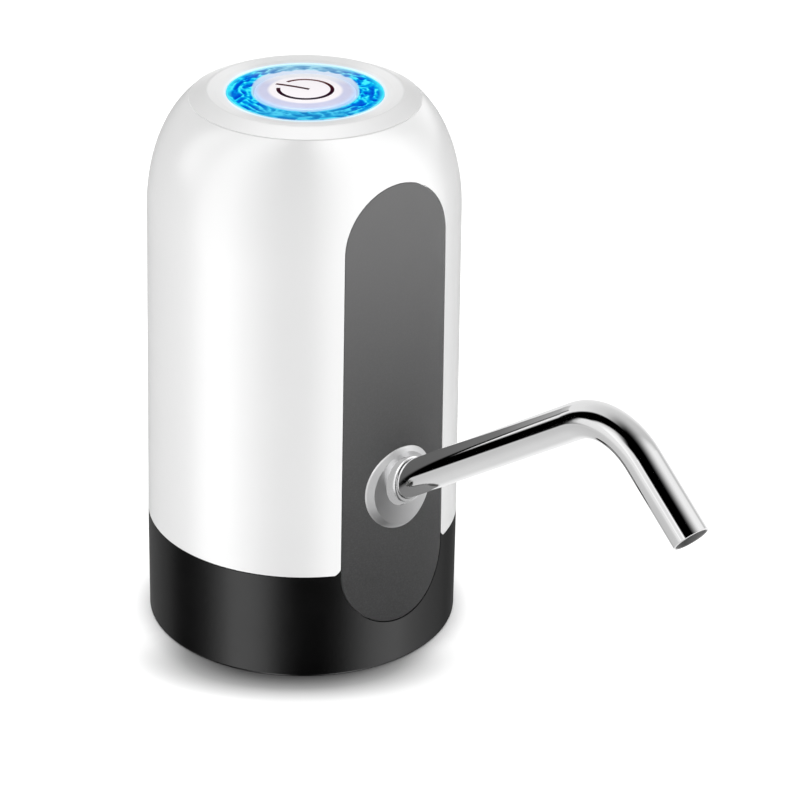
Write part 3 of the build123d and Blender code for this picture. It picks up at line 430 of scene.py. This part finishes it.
def lens():
    """The lit ring as a closed turned body with a rippled top, in the space of its CAD solid."""
    n_turn, n_rad = 640, 30
    top, depth = LENS_TOP / MM, LENS_DEPTH / MM
    prof = [(18.2, 130.4), (18.2, 131.6), (18.2, 132.6), (18.2, 133.22), (18.14, 133.40), (18.02, 133.50), (17.86, 133.56)]
    inner = [(12.19, 133.56), (12.03, 133.50), (11.91, 133.40), (11.85, 133.22), (11.85, 132.6), (11.85, 132.1), (12.85, 132.1), (12.85, 129.2), (19.3, 129.2), (19.3, 130.4)]
    radii = np.linspace(17.7, 12.35, n_rad)
    ang = np.linspace(0, 2 * np.pi, n_turn, endpoint=False)
    rows = []
    for r, z in prof:
        rows.append((np.full(n_turn, r), np.full(n_turn, z)))
    for r in radii:
        h = lens_height(np.full(n_turn, r), ang)
        edge = min(1.0, (17.9 - r) / 0.6, (r - 12.15) / 0.6)
        rows.append((np.full(n_turn, r), top - depth * (1 - h) * edge - (1 - edge) * depth * 0.1))
    for r, z in inner:
        rows.append((np.full(n_turn, r), np.full(n_turn, z)))
    vs = np.concatenate([np.stack([r * np.cos(ang), r * np.sin(ang), z], 1) for r, z in rows]) * MM
    k = len(rows)
    i = np.arange(k * n_turn).reshape(k, n_turn)
    j = np.roll(i, -1, axis=1)
    up, upj = np.roll(i, -1, axis=0), np.roll(j, -1, axis=0)
    faces = np.stack([i.ravel(), j.ravel(), upj.ravel(), up.ravel()], 1)
    me = bpy.data.meshes.new("light_lens")
    me.from_pydata(vs.tolist(), [], faces.tolist())
    me.update()
    me.shade_smooth()
    me.set_sharp_from_angle(angle=math.radians(50))
    o = bpy.data.objects.new("light_lens", me)
    scene.collection.objects.link(o)
    me.materials.append(MATS["light_window"])
    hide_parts("light_ring")
    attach(o, "root")
    o.visible_glossy = False
    return o


LENS = lens()


# ------------------------------------------------------------------ stage: floor, world, softboxes
def collection(name, *objs):
    c = bpy.data.collections.new(name)
    for o in objs:
        c.objects.link(o)
    return c


def disc(name, radius, z, n=96):
    me = bpy.data.meshes.new(name)
    vs = [(radius * math.cos(2 * math.pi * i / n), radius * math.sin(2 * math.pi * i / n), z) for i in range(n)]
    me.from_pydata(vs, [], [list(range(n))])
    o = bpy.data.objects.new(name, me)
    scene.collection.objects.link(o)
    return o


def floor():
    """Pale floor with a painted soft shadow under the base that spreads a little towards the front."""
    o = disc("floor", 6.0, -0.00002)
    m, g = material("floor")
    x, y, z = g.xyz(g.where())
    # painted shadow: the floor colour darkens in an ellipse set off towards the front of the base
    fx, fy = -math.sin(THETA), -math.cos(THETA)
    v = g.math("ADD", g.math("MULTIPLY", x, fx), g.math("MULTIPLY", y, fy))
    u = g.math("ADD", g.math("MULTIPLY", x, -fy), g.math("MULTIPLY", y, fx))
    u = g.math("MULTIPLY", g.math("ADD", u, 0.002), 0.5)
    v = g.math("SUBTRACT", v, 0.030)
    d = g.math("SQRT", g.math("ADD", g.math("MULTIPLY", u, u), g.math("MULTIPLY", v, v)))
    c = g.ramp(g.span(d, 0.008, 0.024, smooth=False), [(0.0, (0.155,) * 3), (0.3, (0.35,) * 3), (0.5, (0.59,) * 3), (0.65, (0.76,) * 3), (0.8, (0.86,) * 3), (1.0, (0.90,) * 3)])
    away = g.math("SQRT", g.math("ADD", g.math("MULTIPLY", x, x), g.math("MULTIPLY", y, y)))
    e = g.ramp(g.span(away, 0.25, 1.25, smooth=False), [(0.0, (0.0,) * 3), (0.35, (0.10,) * 3), (1.0, (0.20,) * 3)])
    finish_bsdf(g, Base__Color=c, Roughness=0.9, Specular__IOR__Level=0.0, Emission__Color=e, Emission__Strength=1.0)
    m.cycles.emission_sampling = "NONE"
    o.data.materials.append(m)
    o.visible_glossy = False
    return o


FLOOR = floor()


def make_world():
    """Even room light, a little stronger from above. Reflections come from the softboxes below."""
    w = bpy.data.worlds.new("studio")
    scene.world = w
    w.use_nodes = True
    w.cycles.sampling_method = "NONE"
    g = Graph(w.node_tree)
    x, y, z = g.xyz(g.add("TexCoord").outputs["Generated"])
    level = g.math("ADD", 0.647, g.math("MULTIPLY", g.math("MAXIMUM", z, 0.0), 0.50))
    path = g.add("LightPath").outputs
    level = g.math("MULTIPLY", level, g.math("SUBTRACT", 1.0, path["Is Glossy Ray"]))
    bg = g.add("Background", Color=(1, 1, 1), Strength=g.math("MAXIMUM", level, g.math("MULTIPLY", path["Is Camera Ray"], 1.2)))
    out = g.add("OutputWorld")
    g.t.links.new(bg.outputs[0], out.inputs[0])


make_world()


def softbox(name, radius, receivers, level):
    """Glowing sphere that only shows in the gloss of its receivers. level(g, x, y, z) gives the brightness for a direction."""
    me = bpy.data.meshes.new(name)
    nu, nv = 96, 32
    vs, fs = [], []
    for j in range(nv + 1):
        el = -math.pi / 2 + math.pi * j / nv
        for i in range(nu):
            a = 2 * math.pi * i / nu
            vs.append((radius * math.cos(el) * math.sin(a), -radius * math.cos(el) * math.cos(a), radius * math.sin(el)))
    for j in range(nv):
        for i in range(nu):
            fs.append((j * nu + i, j * nu + (i + 1) % nu, (j + 1) * nu + (i + 1) % nu, (j + 1) * nu + i))
    me.from_pydata(vs, [], fs)
    o = bpy.data.objects.new(name, me)
    scene.collection.objects.link(o)
    m, g = material(name)
    unit = g.add("VectorMath", _operation="NORMALIZE", i0=g.where())
    x, y, z = g.xyz(unit.outputs[0])
    em = g.add("Emission", Color=(1, 1, 1), Strength=level(g, x, y, z))
    add = g.add("AddShader", i0=em.outputs[0], i1=g.add("BsdfTransparent").outputs[0])
    out = g.add("OutputMaterial")
    g.t.links.new(add.outputs[0], out.inputs[0])
    m.cycles.emission_sampling = "NONE"
    o.data.materials.append(m)
    o.visible_camera = o.visible_diffuse = o.visible_shadow = o.visible_transmission = o.visible_volume_scatter = False
    o.light_linking.receiver_collection = collection(name + "_receivers", *receivers)
    return o


def by_heading(stops, fade=0.97):
    """Brightness by heading, the same at all heights. Stops are (heading in degrees, level); heading 0 looks out along -Y, 90 along +X."""
    def level(g, x, y, z):
        ang = g.math("ARCTAN2", x, g.math("MULTIPLY", y, -1.0))
        t = g.math("MULTIPLY_ADD", ang, 0.5 / math.pi, 0.5)
        top = max(v for _, v in stops)
        pts = sorted(((a % 360) if a % 360 <= 180 else a % 360 - 360, v / top) for a, v in stops)
        curve = g.add("FloatCurve", Value=t)
        c = curve.mapping.curves[0]
        lead, tail = (pts[-1][0] - 360, pts[-1][1]), pts[0]
        edge = lead[1] + (tail[1] - lead[1]) * (-180 - lead[0]) / (tail[0] - lead[0])
        c.points[0].location = (0, edge)
        c.points[1].location = (1, edge)
        for a, v in pts:
            if -179.5 < a < 179.5:
                c.points.new((a + 180) / 360, v)
        for p in c.points:
            p.handle_type = "AUTO_CLAMPED"
        curve.mapping.update()
        return g.math("MULTIPLY", g.math("MULTIPLY", curve.outputs[0], top), g.span(g.math("ABSOLUTE", z), fade, 1.0, 1.0, 0.0))
    return level


def by_height(stops):
    """Brightness by elevation in degrees."""
    def level(g, x, y, z):
        top = max(v for _, v in stops)
        return g.math("MULTIPLY", g.ramp(g.span(g.math("ARCSINE", z), -math.pi / 2, math.pi / 2, smooth=False), [((a + 90) / 180, (v / top,) * 3) for a, v in stops], "EASE"), top)
    return level


def shell_light(g, x, y, z):
    """Walls by heading, and two more panes above eye level for the shoulder's sides."""
    walls = by_heading(SHELL_STOPS)(g, x, y, z)
    panes = by_heading(CROWN_STOPS)(g, x, y, z)
    return g.math("ADD", walls, g.math("MULTIPLY", panes, g.span(z, -0.04, 0.26)))


def room(g, x, y, z):
    """Reflections in the polished tube, by turn about the X axis and by lean toward X: pale walls and one long black flag on the left."""
    turn = g.math("MODULO", g.math("ADD", g.math("ARCTAN2", z, g.math("MULTIPLY", y, -1.0)), 2 * math.pi), 2 * math.pi)
    turn = g.math("MULTIPLY", turn, 180 / math.pi)
    nx = g.math("MULTIPLY", x, -1.0)
    walls = g.ramp(g.math("DIVIDE", turn, 360.0), [(a / 360, (v,) * 3) for a, v in ((40, 0.80), (62, 0.98), (70, 0.95), (84, 0.60), (112, 0.62), (132, 0.72), (150, 0.84), (176, 0.90), (200, 0.86), (211, 0.66), (220, 0.60), (235, 0.64), (250, 0.74), (290, 0.74), (330, 0.80))])
    lift = g.math("MULTIPLY", g.span(turn, 190, 202), g.span(x, 0.0, 0.55, 0.0, 0.30))
    dip = g.math("MULTIPLY", g.math("MULTIPLY", g.span(turn, 208, 216), g.span(turn, 232, 224)), g.span(g.math("ABSOLUTE", x), 0.22, 0.0, 0.0, 0.20))
    kick = g.math("MULTIPLY", g.span(turn, 172, 160), g.span(nx, 0.76, 0.86, 0.0, 0.25))
    level = g.math("ADD", g.math("SUBTRACT", g.math("ADD", walls, lift), dip), kick)
    low = g.math("MULTIPLY", g.span(nx, -0.62, 0.33), g.span(nx, 0.91, 0.85))
    near = g.math("MULTIPLY", g.span(g.math("ADD", nx, g.span(turn, 130, 160, 0.05, 0.0)), 0.31, 0.41), g.span(g.math("ADD", nx, g.span(turn, 160, 178, 0.0, 0.06)), 0.76, 0.70))
    near = g.math("MULTIPLY", near, g.span(turn, 213, 207))
    w = g.span(turn, 92, 126)
    flag = g.math("ADD", g.math("MULTIPLY", low, g.math("SUBTRACT", 1.0, w)), g.math("MULTIPLY", near, w))
    return g.math("MULTIPLY", level, g.math("SUBTRACT", 1.0, flag))


def wall(g, x, y, z):
    """Reflections in the satin metals: light to the right and the far left, dim in front, dark below."""
    t = g.math("MULTIPLY_ADD", g.math("ARCTAN2", x, g.math("MULTIPLY", y, -1.0)), 0.5 / math.pi, 0.5)
    level = g.ramp(t, [((a + 180) / 360, (v,) * 3) for a, v in ((-180, 0.60), (-100, 0.80), (-60, 1.15), (-26, 0.45), (2, 0.10), (20, 0.20), (42, 0.55), (62, 0.88), (84, 0.95), (120, 0.75), (180, 0.60))])
    level = g.math("MULTIPLY", level, g.span(z, -0.86, -0.62, 0.45, 1.0))
    return g.math("ADD", level, g.span(z, 0.05, 0.5, 0.0, 0.45))


def plain(value):
    def level(g, x, y, z):
        return g.math("ADD", value, g.math("MULTIPLY", z, 0.3 * value))
    return level


SHELL_STOPS = [(-158, 0.5), (-138, 0.9), (-118, 3.4), (-98, 5.3), (-86, 4.0), (-76, 2.7), (-62, 0.8), (-48, 0.0), (-38, 0.2), (-28, 1.9), (-16, 4.3), (-4, 6.3), (20, 7.4), (50, 6.6), (66, 4.3), (80, 1.8), (92, 0.6), (106, 0.45), (124, 0.45), (160, 0.42), (180, 0.45)]
CROWN_STOPS = [(-179, 0.15), (-171, 0.2), (-163, 0.2), (-155, 0.5), (-147, 1.7), (-138, 2.9), (-129, 1.8), (-118, 0.3), (-108, 0.0), (70, 0.0), (76, 0.2), (82, 0.6), (90, 1.1), (98, 1.5), (106, 1.7), (114, 1.7), (123, 1.4), (135, 0.7), (150, 0.3), (173, 0.2)]
BASE_STOPS = [(-176, 0.219), (-158, 0.214), (-146, 0.083), (-134, 0.033), (-120, 0.115), (-108, 0.428), (-96, 1.046), (-84, 1.563), (-72, 1.393), (-60, 0.752), (-48, 0.157), (-36, 0.0), (-24, 0.007), (-14, 0.097), (-4, 0.415), (8, 0.943), (20, 1.326), (32, 1.418), (44, 1.097), (58, 0.69), (74, 0.391), (90, 0.209), (106, 0.106), (130, 0.121), (180, 0.207)]
TRIM_STOPS = [(-90, 1.25), (-18, 1.25), (-9, 1.30), (0, 1.10), (12, 0.45), (20, 0.5), (39, 1.3), (52, 2.3), (64, 5.0), (70, 7.3), (90, 7.3)]
TUBE = {"spout_tube"}
METAL = {n for n in NODES if SLOT_OF[n] in ("collar_metal", "satin_metal", "port_metal", "screw_steel", "motor_steel", "copper")} - TUBE
TOP = {"top_trim_ring", "button_cap"}
REST = [o for n, o in NODES.items() if n not in TUBE | METAL | TOP | {"upper_shell", "base_collar", "light_ring", "power_mark"}]
softbox("softbox_shell", 2.0, [NODES["upper_shell"]], shell_light)
softbox("softbox_base", 2.1, [NODES["base_collar"]], by_heading(BASE_STOPS))
softbox("softbox_top", 2.2, [NODES[n] for n in sorted(TOP)], by_height(TRIM_STOPS))
softbox("softbox_tube", 2.3, [NODES[n] for n in sorted(TUBE)], room)
softbox("softbox_metal", 2.4, [NODES[n] for n in sorted(METAL)], wall)
softbox("softbox_rest", 2.5, REST, plain(0.55))


def grey_and_black(g, x, y, z):
    """Grey, paler at the top and the foot, with a black edge on the left."""
    fade = g.ramp(g.span(z, 0.013, 0.104, smooth=False), [(0.0, (0.26,) * 3), (0.24, (0.22,) * 3), (0.36, (0.115,) * 3), (0.55, (0.135,) * 3), (0.72, (0.19,) * 3), (0.86, (0.38,) * 3), (1.0, (0.66,) * 3)])
    black = g.math("MULTIPLY", g.span(x, -0.0090, -0.0120), g.span(z, 0.036, 0.044))
    return g.math("MULTIPLY", fade, g.math("SUBTRACT", 1.0, black))


def card(name, radius, receivers, level, clear=False):
    """Strip just inside the front cover that its receivers reflect in the cover's place. A clear one lets the others see past it."""
    me = bpy.data.meshes.new(name)
    vs, fs = [], []
    n = 24
    for i in range(n + 1):
        a = math.radians(-24.2 + 48.4 * i / n)
        for z in (0.013, 0.104):
            vs.append((radius * math.sin(a), -radius * math.cos(a), z))
    for i in range(n):
        fs.append((2 * i, 2 * i + 2, 2 * i + 3, 2 * i + 1))
    me.from_pydata(vs, [], fs)
    o = bpy.data.objects.new(name, me)
    scene.collection.objects.link(o)
    m, g = material(name)
    x, y, z = g.xyz(g.where())
    em = g.add("Emission", Color=(1, 1, 1), Strength=level(g, x, y, z))
    out = g.add("OutputMaterial")
    shader = g.add("AddShader", i0=em.outputs[0], i1=g.add("BsdfTransparent").outputs[0]) if clear else em
    g.t.links.new(shader.outputs[0], out.inputs[0])
    m.cycles.emission_sampling = "NONE"
    me.materials.append(m)
    o.visible_camera = o.visible_diffuse = o.visible_shadow = o.visible_transmission = o.visible_volume_scatter = False
    o.light_linking.receiver_collection = collection(name + "_receivers", *[NODES[n] for n in sorted(receivers)])
    return o


card("panel_card", 0.0358, TUBE, grey_and_black)
card("collar_card", 0.0360, METAL, plain(0.50), clear=True)
NODES["front_panel"].visible_glossy = False


def area(name, heading, elev, dist, size, power, receivers, blockers, aim=(0, 0, 0.05)):
    li = bpy.data.lights.new(name, "AREA")
    li.shape, li.size, li.energy = "DISK", size, power
    o = bpy.data.objects.new(name, li)
    scene.collection.objects.link(o)
    a, e = math.radians(heading), math.radians(elev)
    p = Vector((math.sin(a) * math.cos(e), -math.cos(a) * math.cos(e), math.sin(e))) * dist
    o.location = p
    o.rotation_mode = "QUATERNION"
    o.rotation_quaternion = (p - Vector(aim)).to_track_quat("Z", "Y")
    o.light_linking.receiver_collection = collection(name + "_receivers", *receivers)
    o.light_linking.blocker_collection = collection(name + "_blockers", *blockers)
    return o


area("floor_light", 142, 84, 1.6, 0.5, 14.0, [FLOOR], [NODES["base_collar"]])

scene.view_settings.view_transform = "Standard"
scene.view_settings.look = "None"
scene.cycles.max_bounces = 12
scene.cycles.transparent_max_bounces = 24
scene.cycles.sample_clamp_indirect = 10.0
